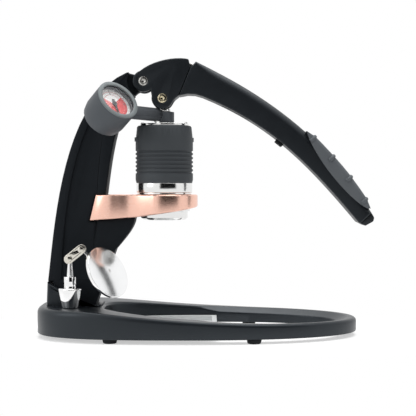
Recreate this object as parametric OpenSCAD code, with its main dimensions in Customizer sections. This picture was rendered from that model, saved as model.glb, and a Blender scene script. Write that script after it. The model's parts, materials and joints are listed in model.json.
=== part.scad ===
// Manual lever espresso maker: an oval cast base, a bowed post, a folding lever that
// presses a piston through a brew cylinder, a pressure gauge and a swivelling shot mirror.
// Millimetres, +Z up, +X towards the lever's tip, origin under the middle on the table.

/* [Overall] */
// Length from the back of the base to the tip of the lever
overall_l = 320; // [312:1:328]
// Distance from the back of the base to the brew axis
brew_from_back = 120; // [117:0.5:123]

/* [Base] */
// Length of the oval base
base_l = 304; // [295:1:312]
// Width of the oval base
base_w = 150; // [142:1:158]
// Width of the rim seen from above
rim_w = 19; // [17:0.5:21]
// Height of the rim at the front
rim_h = 14; // [12:0.5:16]
// Height of the hub that carries the post
hub_h = 25; // [22:0.5:28]
// Height of the rubber feet under the base
foot_h = 4; // [3:0.5:6]
// Radius of a rubber foot
foot_r = 7; // [5:0.5:8]

// How far the opening of the base sits in front of its middle
opening_shift = 22; // [20:0.5:24]

/* [Post] */
// Width of the post from side to side
post_w = 30; // [27:0.5:33]
// Height of the socket on the hub that the post stands in
socket_h = 22.5; // [20:0.5:25]
// Wall of that socket
socket_wall = 5; // [4:0.5:6]
// Radius of the two screws that hold the post
post_screw_r = 3; // [2.5:0.25:3.5]

/* [Lever] */
// Height of the main pivot above the table
pivot_z = 241.5; // [238:0.5:245]
// Distance from the main pivot to the roller pin
crank_r = 24.2; // [23:0.1:25.5]
// Angle of the crank below level when the lever is down
crank_angle = 42; // [39:0.5:45]
// Thickness of each cheek of the lever head
cheek_t = 6; // [5:0.25:7]
// Width of the tongue on the post between the cheeks
tongue_w = 13; // [12:0.5:14]
// Radius of the round ends of the cheeks
cheek_r = 10.2; // [9.8:0.1:10.6]
// Radius of the pivot bolts
pin_r = 3; // [2.5:0.25:3.5]
// Radius of a pivot bolt's head
pin_head_r = 4.3; // [4:0.1:5]
// Depth of a pivot bolt's head
pin_head_t = 2.5; // [2:0.25:3.5]
// Radius of the pressing roller
roller_r = 9; // [8:0.25:9.5]
// Width of the lever arm from side to side
arm_w = 28; // [25:0.5:31]
// Drop of the lever's tip below the main pivot
tip_drop = 129.5; // [126:0.5:133]

/* [Brew head] */
// Bore of the brew cylinder
cyl_bore_r = 21.5; // [20.5:0.25:22.5]
// Wall of the brew cylinder
cyl_wall = 2.5; // [2:0.25:3]
// Thickness of the silicone sleeve
sleeve_t = 3.5; // [2.5:0.25:4.5]
// Height of the sleeve
sleeve_h = 54.5; // [52:0.5:55]
// Steel of the cylinder that shows below the sleeve
cyl_skirt_h = 11; // [9:0.5:13]
// Number of grip grooves in the sleeve
groove_n = 6; // [4:1:6]
// Distance from one groove to the next
groove_pitch = 3.9; // [3.5:0.1:4.1]
// Top face of the yoke above the table
yoke_z = 134; // [131:0.5:134.5]
// Outer radius of the yoke's ring
yoke_r = 32; // [31:0.25:34]
// Depth of the yoke at the post
yoke_h = 25; // [23:0.5:27]
// Depth of the yoke at its nose
yoke_nose_h = 11.5; // [10.5:0.5:13]
// Rise of the yoke's underside from the back of its prongs to the front of the shelf
yoke_rise = 3.6; // [3:0.2:4.2]
// Radius of the stem
stem_r = 5; // [4.5:0.25:5.5]

/* [Gauge] */
// Outer radius of the gauge housing
gauge_r = 20.5; // [19:0.25:22]
// Depth of the gauge housing
gauge_d = 32; // [30:0.5:35]
// Wall of the gauge housing
gauge_wall = 2.6; // [2:0.2:3.2]
// Radius of the gauge's neck
neck_r = 6.4; // [6:0.2:6.6]
// Distance of the gauge behind the brew axis
gauge_back = 48.5; // [47:0.5:50]
// Distance of the gauge out from the middle plane
gauge_out = 44; // [42:0.5:48]
// Height of the gauge's middle above the collar's middle
gauge_up = 4.2; // [3.8:0.2:4.6]
// Radius of the collar round the stem
collar_r = 9.5; // [8.5:0.25:10]
// Height of the collar
collar_h = 10; // [9:0.25:10.5]

/* [Mirror] */
// Radius of the shot mirror
mirror_r = 25; // [22:0.5:27]
// Thickness of the mirror's dish at its edge
mirror_t = 2.4; // [2:0.2:3]
// Height of the crown of the convex mirror
mirror_crown = 2; // [1.5:0.25:3]
// Depth of the domed back of the mirror
dome_h = 4.5; // [3.5:0.25:5.5]
// Largest radius of the magnet foot
bell_r = 11; // [10:0.25:12]
// Height of the magnet foot
bell_h = 18.5; // [16:0.5:20]
// Distance of the mirror stand behind the brew axis
stand_back = 86.4; // [84:0.4:88]
// Distance of the mirror stand out from the middle plane
stand_out = 34; // [33:0.5:38]
// Radius of the mirror's rods
rod_r = 2; // [1.75:0.25:2.5]
// Distance between the two eyes of the mirror link
link_l = 14.4; // [13:0.2:16]

/* [Hidden] */
$fn = 64;
run_clear = 0.05;
gap = 0.5;
eps = 0.02;

// Where the main pieces stand
back_x = -overall_l / 2;
tip_x = overall_l / 2;
brew_x = back_x + brew_from_back;
base_mid_x = back_x + base_l / 2;
roller_x = brew_x - 1.5;
pivot_x = roller_x - crank_r * cos(crank_angle);
roller_z = pivot_z - crank_r * sin(crank_angle);
PIVOT = [pivot_x, pivot_z];
ROLLER = [roller_x, roller_z];
head_w = tongue_w + 2 * cheek_t + 2 * gap;

// A cubic curve through four control points, without its first point
function curve(a, b, c, d, n = 10) = [for (i = [1:n]) let (t = i / n, u = 1 - t)
    u * u * u * a + 3 * u * u * t * b + 3 * u * t * t * c + t * t * t * d];
// Points of an arc about a centre, both ends included
function arc(c, r, a0, a1, n = 12) = [for (i = [0:n]) let (a = a0 + (a1 - a0) * i / n)
    c + r * [cos(a), sin(a)]];
function unit(v) = v / norm(v);
// A point at a share of the way from a to b, for each axis
function between(a, b, fx, fz) = [a[0] + (b[0] - a[0]) * fx, a[1] + (b[1] - a[1]) * fz];
// One quarter-power oval: squarer at the back than at the front
function power(v, e) = sign(v) * pow(abs(v), e);
function oval(half_l, half_w, n = 88) = [for (i = [0:n - 1]) let (a = 360 * i / n,
    e = cos(a) < 0 ? 0.66 : 0.94)
    [half_l * power(cos(a), e), half_w * power(sin(a), e)]];

// A side outline in X and Z, as a plate between two distances from the middle plane
module plate(y0, y1) {
    translate([0, y1, 0]) rotate([90, 0, 0]) linear_extrude(y1 - y0) children();
}
module slab(w) {
    plate(-w / 2, w / 2) children();
}
// A straight bar along Y through a point of the side view
module cross_bar(p, r, y0, y1) {
    translate([p[0], y1, p[1]]) rotate([90, 0, 0]) cylinder(r = r, h = y1 - y0);
}
// Turns +Z of its children to a direction
module aim(v) {
    rotate([0, acos(v[2] / norm(v)), atan2(v[1], v[0])]) children();
}
// A round rod between two points
module rod(a, b, r) {
    translate(a) aim(b - a) cylinder(r = r, h = norm(b - a));
}

// Base
inner_mid_x = base_mid_x + opening_shift;
inner_half_l = base_l / 2 - rim_w - opening_shift;
inner_half_w = base_w / 2 - rim_w;
hub_top = foot_h + hub_h;
rim_top = foot_h + rim_h;
base_side = concat([[back_x, foot_h], [back_x, hub_top - 6]],
    curve([back_x, hub_top - 6], [back_x, hub_top], [back_x + 4, hub_top], [back_x + 12, hub_top], 5),
    [[back_x + 50, hub_top - 0.5]],
    curve([back_x + 50, hub_top - 0.5], [back_x + 90, hub_top - 3], [back_x + 130, rim_top + 1.5],
        [back_x + 215, rim_top], 12),
    [[back_x + base_l, rim_top - 1], [back_x + base_l, foot_h]]);
foot_places = [for (sx = [-1, 1], sy = [-1, 1])
    [base_mid_x + base_l * (sx > 0 ? 0.17 : -0.26), sy * (base_w / 2 - rim_w / 2 - (sx > 0 ? 1 : 3))]];

// Post, drawn as the side outline of a bowed arm
post_foot_x0 = back_x + 10;
post_foot_x1 = back_x + 56;
post_foot_z = hub_top - 16;
socket_top = hub_top + socket_h;
shelf_x = brew_x - 27;
yoke_back_x = shelf_x - 43;
// Underside of the yoke over the shelf of the post
function yoke_low(x) = yoke_z - yoke_h + yoke_rise * (x - yoke_back_x) / (shelf_x - yoke_back_x);
shelf_z = yoke_low(shelf_x);
shoulder_r = cheek_r + 5.2;
post_back = [post_foot_x0, socket_top];
post_top = [pivot_x - 14.8, pivot_z + 8.3];
post_outline = concat([[post_foot_x1, post_foot_z], [post_foot_x0 + socket_wall, post_foot_z],
    [post_foot_x0 + socket_wall, socket_top], post_back],
    curve(post_back, between(post_back, post_top, 0.088, 0.287), between(post_back, post_top, 0.186, 0.869),
        post_top, 18),
    [[pivot_x, pivot_z + 4.5], [pivot_x, pivot_z - 8]],
    curve([pivot_x, pivot_z - 8], [pivot_x - 24, pivot_z - 16], [shelf_x - 23, yoke_z + 40],
        [shelf_x - 28, yoke_z], 12),
    [[shelf_x - 28, yoke_low(shelf_x - 28) - eps], [shelf_x, shelf_z - eps]],
    curve([shelf_x, shelf_z - eps], [shelf_x - 1, shelf_z - 10], [shelf_x - 8, shelf_z - 18],
        [shelf_x - 19, shelf_z - 31], 6),
    [[post_foot_x1, socket_top - 20]]);

module base_frame() {
    color("#24282c") difference() {
        union() {
            intersection() {
                difference() {
                    translate([base_mid_x, 0, foot_h]) linear_extrude(hub_h)
                        polygon(oval(base_l / 2, base_w / 2));
                    translate([inner_mid_x, 0, foot_h - 1]) linear_extrude(hub_h + 2)
                        polygon(oval(inner_half_l, inner_half_w));
                }
                slab(base_w + 2) polygon(base_side);
            }
            slab(post_w + 2 * socket_wall) polygon([[post_foot_x0 - 1, hub_top - 4], [post_foot_x0, socket_top],
                [post_foot_x0 + socket_wall + gap, socket_top - 3], [post_foot_x0 + 36, hub_top + 1.5],
                [post_foot_x1 + socket_wall, hub_top + 1], [post_foot_x1 + socket_wall, hub_top - 4]]);
        }
        translate([0, 0, eps]) slab(post_w + eps) polygon([[post_foot_x0 + socket_wall - eps, post_foot_z - eps],
            [post_foot_x1 + eps, post_foot_z - eps], [post_foot_x1 + eps, socket_top + 1],
            [post_foot_x0 + socket_wall - eps, socket_top + 1]]);
        for (x = post_screw_xs) translate([x, 0, foot_h - 1]) {
            cylinder(r = post_screw_r + 0.3, h = hub_h);
            cylinder(r = 2 * post_screw_r, h = 6);
        }
        for (p = foot_places) translate([p[0], p[1], foot_h - 1]) cylinder(r = foot_r - 2, h = 4);
        tray_seat();
    }
}
post_screw_xs = [post_foot_x0 + 14, post_foot_x1 - 9];

module post_screws() {
    color("#9a9da0") for (x = post_screw_xs) translate([x, 0, foot_h]) {
        translate([0, 0, 1]) cylinder(r = 2 * post_screw_r - 0.3, h = 4 - eps);
        translate([0, 0, 4]) cylinder(r = post_screw_r, h = post_foot_z + 14 - 4 - foot_h);
    }
}

module base_feet() {
    color("#17181a") for (p = foot_places) translate([p[0], p[1], 0]) {
        cylinder(r1 = foot_r - 1, r2 = foot_r, h = foot_h);
        cylinder(r = foot_r - 2, h = foot_h + 3);
    }
}

// Drip tray, a pressed steel dish that hangs in the opening by its flange
tray_x0 = inner_mid_x - inner_half_l + 22;
tray_l = 82;
tray_half_w = inner_half_w - 3;
tray_z = foot_h + 6;
module tray_outline(grow) {
    translate([tray_x0 - grow, -tray_half_w - grow]) square([tray_l + 2 * grow, 2 * (tray_half_w + grow)]);
}
module tray_seat() {
    translate([0, 0, tray_z - eps]) linear_extrude(2) tray_outline(4);
}
module drip_tray() {
    color("#c9ccce") difference() {
        union() {
            translate([0, 0, tray_z]) linear_extrude(1.2) intersection() {
                tray_outline(3.5);
                translate([inner_mid_x, 0]) polygon(oval(inner_half_l + 3, inner_half_w + 3));
            }
            translate([0, 0, foot_h + 1]) linear_extrude(6) intersection() {
                tray_outline(0);
                translate([inner_mid_x, 0]) polygon(oval(inner_half_l - 1, inner_half_w - 1));
            }
        }
        translate([0, 0, foot_h + 2]) linear_extrude(8) intersection() {
            tray_outline(-1.2);
            translate([inner_mid_x, 0]) polygon(oval(inner_half_l - 2.2, inner_half_w - 2.2));
        }
    }
}

// Yoke, a fork that clasps the post and a ring that takes the portafilter
prong_t = 5;
prong_in = post_w / 2 - 2;
prong_out = prong_in + prong_t;
cup_r = cyl_bore_r + cyl_wall + 0.5;
module yoke_plan() {
    difference() {
        union() {
            translate([brew_x, 0]) circle(r = yoke_r);
            polygon([[yoke_back_x, -prong_out], [shelf_x - 20, -prong_out - 1], [brew_x - 8, -yoke_r * 0.97],
                [brew_x - 8, yoke_r * 0.97], [shelf_x - 20, prong_out + 1], [yoke_back_x, prong_out]]);
        }
        translate([yoke_back_x - 1, -prong_in]) square([shelf_x - 27 - yoke_back_x + 1, 2 * prong_in]);
    }
}
yoke_lean = 6;
yoke_side = concat([[yoke_back_x + yoke_lean, yoke_z], [yoke_back_x, yoke_low(yoke_back_x)], [shelf_x, shelf_z]],
    curve([shelf_x, shelf_z], [brew_x - 4, shelf_z + 3.2], [brew_x + yoke_r * 0.66, yoke_z - yoke_nose_h - 3.2],
        [brew_x + yoke_r + 1, yoke_z - yoke_nose_h], 8),
    [[brew_x + yoke_r + 1, yoke_z]]);
module portafilter_yoke() {
    color("#e0a58d") difference() {
        intersection() {
            translate([0, 0, yoke_z - yoke_h - 1]) linear_extrude(yoke_h + 1) yoke_plan();
            slab(2 * yoke_r + 2) polygon(yoke_side);
        }
        translate([brew_x, 0, yoke_z - yoke_h - 1]) cylinder(r = cup_r + 0.2, h = yoke_h + 2);
    }
}
module yoke_pocket() {
    for (s = [-1, 1]) plate(s > 0 ? prong_in - eps : -post_w, s > 0 ? post_w : -prong_in + eps)
        polygon([[yoke_back_x - 1, yoke_low(yoke_back_x - 1) - eps], [yoke_back_x + yoke_lean - 0.6, yoke_z + eps],
            [shelf_x - 27, yoke_z + eps], [shelf_x - 27, yoke_low(shelf_x - 27) - eps]]);
}

bush_r = pin_r + 1.5;
module post() {
    color("#1b1e21") difference() {
        union() {
            difference() {
                slab(post_w) polygon(post_outline);
                for (s = [-1, 1]) cross_bar(PIVOT, shoulder_r, s > 0 ? tongue_w / 2 : -post_w,
                    s > 0 ? post_w : -tongue_w / 2);
                cross_bar(PIVOT, pin_r, -post_w, post_w);
            }
            cross_bar(PIVOT, cheek_r - 2, -tongue_w / 2, tongue_w / 2);
        }
        cross_bar(PIVOT, bush_r, -post_w, post_w);
        yoke_pocket();
        post_panels();
        for (x = post_screw_xs) translate([x, 0, post_foot_z - 1]) cylinder(r = post_screw_r + 0.1, h = 17);
    }
}
// Shallow panels pressed into both sides of the post
panel_deep = 1.6;
module post_panels() {
    for (s = [-1, 1]) plate(s > 0 ? post_w / 2 - panel_deep : -post_w, s > 0 ? post_w : -post_w / 2 + panel_deep)
        polygon(concat([[post_foot_x0 + 13, socket_top + 2]],
            curve([post_foot_x0 + 13, socket_top + 2], [post_foot_x0 + 16, 150], [post_foot_x0 + 34, 205],
                [pivot_x - 32, pivot_z - 14], 10),
            curve([pivot_x - 32, pivot_z - 14], [shelf_x - 30, yoke_z + 60], [shelf_x - 37, yoke_z + 30],
                [shelf_x - 37, yoke_z - yoke_h], 8),
            [[shelf_x - 44, socket_top + 2]]));
}
module post_bush() {
    color("#b08d57") difference() {
        cross_bar(PIVOT, bush_r, -tongue_w / 2, tongue_w / 2);
        cross_bar(PIVOT, pin_r + run_clear, -post_w, post_w);
    }
}

// Brew head, a stack on the brew axis
module on_axis(z) {
    translate([brew_x, 0, z]) children();
}
// Turned ring between two radii
module ring(r_out, r_in, h) {
    difference() {
        cylinder(r = r_out, h = h);
        translate([0, 0, -1]) cylinder(r = r_in, h = h + 2);
    }
}
cyl_out_r = cyl_bore_r + cyl_wall;
sleeve_z = yoke_z + cyl_skirt_h;
cyl_top = sleeve_z + sleeve_h;
cap_t = 2;
skirt_r = cyl_out_r + sleeve_t - 0.6;
flange_t = 2;
cup_bottom = yoke_z - 24;
cup_neck_r = cup_r - 2;
cup_chamfer = 2;
basket_z = yoke_z - 20;
basket_r = cyl_bore_r - 0.5;
module portafilter_cup() {
    color("#d2d4d6") on_axis(0) difference() {
        union() {
            translate([0, 0, yoke_z]) cylinder(r = cyl_out_r + 2, h = flange_t);
            translate([0, 0, yoke_z - 16]) cylinder(r = cup_r, h = 16);
            translate([0, 0, cup_bottom + cup_chamfer]) cylinder(r = cup_neck_r, h = 10);
            translate([0, 0, cup_bottom]) cylinder(r1 = cup_neck_r - cup_chamfer, r2 = cup_neck_r, h = cup_chamfer);
        }
        translate([0, 0, cup_bottom - 1]) cylinder(r = basket_r - 1.8, h = 40);
        translate([0, 0, basket_z + 2]) cylinder(r = basket_r + 0.2, h = 40);
    }
}
module filter_basket() {
    color("#c4c6c8") on_axis(basket_z + 2) difference() {
        cylinder(r = basket_r, h = yoke_z + flange_t - basket_z - 2);
        translate([0, 0, 1]) cylinder(r = basket_r - 1, h = 40);
        for (i = [0:3], j = [0:max(0, 6 * i - 1)]) rotate([0, 0, 360 * j / max(1, 6 * i)])
            translate([3.6 * i, 0, -1]) cylinder(r = 0.6, h = 4, $fn = 16);
    }
}
module dispersion_screen() {
    color("#b9bbbd") on_axis(yoke_z - 3) difference() {
        cylinder(r = basket_r - 1.1, h = 1);
        for (i = [0:2], j = [0:max(0, 6 * i - 1)]) rotate([0, 0, 360 * j / max(1, 6 * i)])
            translate([6 * i, 0, -1]) cylinder(r = 1, h = 4, $fn = 16);
    }
}
module cylinder_gasket() {
    color("#17181a") on_axis(yoke_z + flange_t) ring(cyl_out_r - 0.4, cyl_bore_r - 0.5, 1.5);
}
module brew_cylinder() {
    color("#d6d8da") on_axis(yoke_z + flange_t + 1.5) difference() {
        cylinder(r = cyl_out_r, h = cyl_top - yoke_z - flange_t - 1.5);
        translate([0, 0, -1]) cylinder(r = cyl_bore_r, h = 100);
    }
    color("#d6d8da") on_axis(yoke_z + flange_t + eps) ring(skirt_r, cyl_out_r, cyl_skirt_h - flange_t - eps);
}
module cylinder_sleeve() {
    color("#4a4f54") on_axis(sleeve_z) difference() {
        rotate_extrude() polygon(concat([[cyl_out_r, 0], [cyl_out_r + sleeve_t - 0.8, 0],
            [cyl_out_r + sleeve_t, 3], [cyl_out_r + sleeve_t, sleeve_h - 14],
            [cyl_out_r + sleeve_t - 1.4, sleeve_h - 1], [cyl_out_r + sleeve_t - 2.4, sleeve_h], [cyl_out_r, sleeve_h]]));
        for (i = [0:groove_n - 1]) translate([0, 0, 10.2 + groove_pitch * i])
            rotate_extrude() translate([cyl_out_r + sleeve_t, 0]) circle(r = 1.1, $fn = 24);
    }
    color("#4a4f54") on_axis(sleeve_z + sleeve_h - 15) for (a = [20, 200]) rotate([0, 0, a])
        translate([cyl_out_r + sleeve_t - 0.6, -4, 0]) cube([1.6, 8, 4]);
}
module cylinder_cap() {
    color("#dcdee0") on_axis(cyl_top) difference() {
        union() {
            cylinder(r = cyl_out_r - 0.3, h = cap_t);
            for (a = [75:90:345]) rotate([0, 0, a]) translate([cyl_out_r - 5, -2, cap_t - eps]) cube([4, 4, 1.6]);
        }
        translate([0, 0, -1]) cylinder(r = stem_r + 0.4, h = 20);
    }
}

// Piston, stem and gauge, which travel together
piston_h = 14;
piston_z = yoke_z + flange_t + 3;
stem_top = roller_z - roller_r - 0.8;
collar_z = stem_top - 2.6 - collar_h;
module piston() {
    color("#2b2d30") on_axis(piston_z) difference() {
        cylinder(r = cyl_bore_r - run_clear - 0.2, h = piston_h);
        translate([0, 0, 5]) ring(cyl_bore_r + 1, cyl_bore_r - 3.25, 3.2);
        translate([0, 0, 4]) cylinder(r = stem_r + run_clear, h = 20);
    }
}
module piston_seal() {
    color("#8c2f24") on_axis(piston_z + 5) translate([0, 0, 1.6]) rotate_extrude()
        translate([cyl_bore_r - 1.65, 0]) circle(r = 1.55, $fn = 24);
}
module piston_stem() {
    color("#cfd1d3") on_axis(0) {
        translate([0, 0, piston_z + 4 + run_clear]) cylinder(r = stem_r, h = stem_top - piston_z - 4 - run_clear - 1);
        translate([0, 0, stem_top - 2.2]) cylinder(r = 6.2, h = 2.2);
    }
}

GAUGE = [brew_x - gauge_back, -gauge_out, collar_z + collar_h / 2 + gauge_up];
GAUGE_FACE = [0.56, -0.61, 0.56];
bezel_t = 1.6;
lens_t = 2.4;
lens_r = gauge_r - gauge_wall;
dial_r = lens_r - 1;
dial_z = gauge_d - 9;
dial_t = 1;
spindle_r = 1;
module in_gauge(z = 0) {
    translate(GAUGE) aim(GAUGE_FACE) translate([0, 0, z - gauge_d / 2]) children();
}
module gauge_collar() {
    color("#4a4f54") on_axis(collar_z) ring(collar_r, stem_r, collar_h);
}
NECK_FOOT = [brew_x, 0, collar_z + collar_h / 2 + 0.4 * gauge_up];
module gauge_neck() {
    color("#4a4f54") difference() {
        rod(NECK_FOOT + 0.5 * collar_r * unit(GAUGE - NECK_FOOT), GAUGE - 0.5 * gauge_r * unit(GAUGE - NECK_FOOT), neck_r);
        on_axis(collar_z - 1) cylinder(r = collar_r, h = collar_h + 2 * neck_r);
        in_gauge() cylinder(r = gauge_r, h = gauge_d);
    }
}
module gauge_housing() {
    color("#565b60") in_gauge() rotate_extrude() polygon(concat([[0, 0], [gauge_r - 5, 0]],
        arc([gauge_r - 5, 4], 4, -90, -30, 5), [[gauge_r, 9], [gauge_r, gauge_d - bezel_t],
        [lens_r, gauge_d - bezel_t], [lens_r, gauge_d - bezel_t - lens_t], [dial_r, gauge_d - bezel_t - lens_t],
        [dial_r, 9], [dial_r - 4, gauge_wall], [0, gauge_wall]]));
}
module gauge_movement() {
    color("#b08d57") in_gauge(gauge_wall) difference() {
        cylinder(r = dial_r - 5, h = dial_z - gauge_wall);
        translate([0, 0, dial_z - gauge_wall - 4]) cylinder(r = spindle_r + run_clear, h = 5);
    }
}
module gauge_dial() {
    color("#f2f2f0") in_gauge(dial_z) ring(dial_r - 0.1, spindle_r + run_clear, dial_t);
}
needle_l = 13;
module gauge_needle() {
    color("#b3131b") in_gauge(dial_z) {
        translate([0, 0, -3]) cylinder(r = spindle_r, h = dial_t + 4);
        translate([0, 0, dial_t + 0.5]) cylinder(r = 2.4, h = 1);
        translate([0, 0, dial_t + 0.7]) linear_extrude(0.6)
            polygon([[-5, -1.1], [0, -1.1], [needle_l, -0.3], [needle_l, 0.3], [0, 1.1], [-5, 1.1]]);
    }
}
module gauge_lens() {
    color("#dfe8ee", 0.4) in_gauge(gauge_d - bezel_t - lens_t) cylinder(r = lens_r, h = lens_t);
}
module gauge_bezel() {
    color("#6a6f74") in_gauge(gauge_d - bezel_t) ring(gauge_r, dial_r - 0.4, bezel_t);
}

// Lever head, two cheeks and the web that joins them
SEAM_TOP = [brew_x + 23.5, pivot_z + 20.9];
SEAM_MID = [brew_x + 25.3, pivot_z + 13.1];
SEAM_FOOT = [brew_x + 14.4, roller_z + 2.5];
head_outline = concat(arc(PIVOT, cheek_r, 108, 312, 16), arc(ROLLER, cheek_r, 168, 325, 14),
    curve(ROLLER + cheek_r * [cos(325), sin(325)], ROLLER + [11, -2], SEAM_FOOT - [6, 4], SEAM_FOOT, 5),
    [SEAM_MID, SEAM_TOP], curve(SEAM_TOP, SEAM_TOP + [-11, 2.6], PIVOT + [10, 20.5], PIVOT + cheek_r * [cos(108), sin(108)], 10));
module lever_head() {
    color("#1d2023") difference() {
        union() {
            for (s = [-1, 1]) plate(s > 0 ? head_w / 2 - cheek_t : -head_w / 2, s > 0 ? head_w / 2 : cheek_t - head_w / 2)
                polygon(head_outline);
            slab(head_w - cheek_t) difference() {
                polygon(head_outline);
                translate(PIVOT) circle(r = cheek_r + 1.2);
                translate(ROLLER) circle(r = cheek_r + 1);
                polygon([PIVOT, ROLLER, ROLLER + [0, -30], PIVOT + [-30, -30], PIVOT + [-30, 0]]);
                polygon([PIVOT, PIVOT + [10, 6], ROLLER + [8, 8], ROLLER]);
                translate(PIVOT + [-cheek_r - 1, 0]) square([cheek_r + 7, 30]);
            }
        }
        for (p = [PIVOT, ROLLER]) {
            cross_bar(p, pin_r, -head_w, head_w);
            for (s = [-1, 1]) cross_bar(p, pin_head_r, s > 0 ? head_w / 2 - pin_head_t : -head_w,
                s > 0 ? head_w : pin_head_t - head_w / 2);
        }
        tenon_bar();
    }
}
// Steel tenon that the detachable arm slides on to
tenon_l = 34;
tenon_h = 10;
tenon_w = 12;
TENON = SEAM_MID + [1, -1.2];
module tenon_bar() {
    slab(tenon_w) translate(TENON) rotate(-18) square([tenon_l, tenon_h], center = true);
}
module lever_tenon() {
    color("#b4b7ba") tenon_bar();
}

// Lever arm, a curved tapering beam
seam_gap = 0.3;
ARM_TOP = SEAM_TOP + [6.9, -2.4];
ARM_MID = SEAM_MID + [seam_gap, 0];
ARM_FOOT = SEAM_FOOT + [seam_gap, 0];
ARM_TIP = [tip_x, pivot_z - tip_drop];
ARM_HEEL = ARM_TIP + [-15, -4.5];
arm_top = concat([ARM_TOP], curve(ARM_TOP, between(ARM_TOP, ARM_TIP, 0.407, 0.211),
    between(ARM_TOP, ARM_TIP, 0.789, 0.54), ARM_TIP, 24));
arm_under = concat([ARM_HEEL], curve(ARM_HEEL, between(ARM_HEEL, ARM_FOOT, 0.279, 0.468),
    between(ARM_HEEL, ARM_FOOT, 0.487, 0.774), ARM_FOOT + [22, -0.8], 20),
    [ARM_FOOT + [15, 1.2], ARM_FOOT + [8, 1.5], ARM_FOOT, ARM_MID]);
arm_outline = concat(arm_top, [ARM_TIP + [-1, -3.5], ARM_TIP + [-8.5, -7.7]], arm_under);
plate_t = 1.6;
plate_in = 5;
plate_off = plate_t * [0.66, 0.75];
module underplate_strip() {
    difference() {
        intersection() {
            polygon(arm_outline);
            translate([ARM_FOOT[0] + 20, 0]) square([ARM_HEEL[0] - ARM_FOOT[0] - 26, 2 * pivot_z]);
        }
        translate(plate_off) polygon(arm_outline);
    }
}
module lever_arm() {
    color("#1f2225") difference() {
        slab(arm_w) difference() {
            polygon(arm_outline);
            tip_region();
        }
        slab(arm_w - 2 * plate_in) underplate_strip();
        tenon_bar();
    }
}
tip_cut = 7;
module tip_region() {
    translate(ARM_TIP + [-tip_cut, 0]) rotate(-50) translate([0, -30]) square([30, 60]);
}
module lever_tip() {
    color("#151719") slab(arm_w - 4) intersection() {
        polygon(arm_outline);
        tip_region();
    }
}
module lever_underplate() {
    color("#2a2d30") slab(arm_w - 2 * plate_in) underplate_strip();
}
BUMPER = arm_under[11];
bumper_turn = -39;
module lever_bumper() {
    color("#121314") difference() {
        slab(14) translate(BUMPER) rotate(bumper_turn) translate([-4, -3]) square([8, 5]);
        slab(arm_w + 1) polygon(arm_outline);
    }
}
// Rubber grip moulded over the end of the arm, with cross ribs
grip_t = 2.6;
grip_skin = 1.4;
grip_first = 13;
grip_last = 23;
grip_top = [for (i = [grip_first:grip_last]) arm_top[i] + grip_t * sin(180 * (i - grip_first) / (grip_last - grip_first) * 0.9 + 8) * [0.72, 0.7]];
grip_end = arm_top[grip_last];
grip_start = arm_top[grip_first];
grip_outline = concat([grip_start], grip_top, [grip_end],
    curve(grip_end, grip_end + [-10, 0], grip_start + [12, -34], grip_start, 14));
module lever_grip() {
    color("#6b7074") difference() {
        union() {
            slab(arm_w + 2 * grip_skin) polygon(grip_outline);
            for (i = [2, 4, 6, 8]) cross_bar(grip_top[i], 1.9, -arm_w / 2, arm_w / 2);
        }
        slab(arm_w) polygon(arm_outline);
    }
}

// Pivot bolts, nuts and the roller
module bolt(p) {
    difference() {
        union() {
            cross_bar(p, pin_r, pin_head_t - head_w / 2 - eps, head_w / 2);
            cross_bar(p, pin_head_r, -head_w / 2, pin_head_t - head_w / 2);
        }
        translate([p[0], 1.6 - head_w / 2, p[1]]) rotate([90, 0, 0]) cylinder(r = 2, h = 4, $fn = 6);
    }
}
module nut(p) {
    difference() {
        cross_bar(p, pin_head_r, head_w / 2 - pin_head_t, head_w / 2);
        cross_bar(p, pin_r, -head_w, head_w);
    }
}
module pivot_bolt() { color("#c9c6bd") bolt(PIVOT); }
module pivot_nut() { color("#c9c6bd") nut(PIVOT); }
module roller_bolt() { color("#d8cfae") bolt(ROLLER); }
module roller_nut() { color("#d8cfae") nut(ROLLER); }
module press_roller() {
    color("#d5d7d9") difference() {
        cross_bar(ROLLER, roller_r, 0.5 - tongue_w / 2, tongue_w / 2 - 0.5);
        cross_bar(ROLLER, pin_r + run_clear, -head_w, head_w);
    }
}

// Shot mirror on its magnet foot
stand_x = brew_x - stand_back;
STAND_Y = -stand_out;
sleeve_top = hub_top + bell_h + 10.5;
link_angle = 39;
EYE_LOW = [stand_x - 0.8, STAND_Y, sleeve_top + 16.4];
EYE_HIGH = EYE_LOW + link_l * [cos(link_angle), 0, sin(link_angle)];
// The mirror looks up at the basket and hangs off its middle by a ball on its domed back
MIRROR_FACE = [0.73, -0.53, 0.43];
MIRROR_SIDE = [0.35, -0.25, -0.9];
ball_r = 3.4;
ball_set = 8.4;
BALL = [stand_x + 27.4, STAND_Y, hub_top + 36];
MIRROR = BALL + ball_set * unit(MIRROR_FACE) + 0.26 * mirror_r * unit(MIRROR_SIDE);
eye_r = 3.4;
link_w = 10;
module mirror_foot() {
    color("#e8e9ea") translate([stand_x, STAND_Y, hub_top]) rotate_extrude() polygon(concat([[0, 0]],
        [[bell_r * 0.66, 0]], curve([bell_r * 0.66, 0], [bell_r * 0.8, bell_h * 0.3], [bell_r * 0.95, bell_h * 0.7],
        [bell_r, bell_h - 1], 8), [[bell_r - 0.8, bell_h], [0, bell_h]]));
}
module mirror_sleeve() {
    color("#dfe0e2") translate([stand_x, STAND_Y, hub_top + bell_h]) cylinder(r = 5.8, h = 10.5);
}
module mirror_post() {
    color("#dfe0e2") difference() {
        union() {
            translate([stand_x, STAND_Y, sleeve_top]) cylinder(r1 = rod_r + 1.2, r2 = rod_r, h = 15);
            cross_bar([EYE_LOW[0], EYE_LOW[2]], eye_r, STAND_Y - 2, STAND_Y + 2);
        }
        cross_bar([EYE_LOW[0], EYE_LOW[2]], 1.5 + run_clear, STAND_Y - link_w, STAND_Y + link_w);
    }
}
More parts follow.
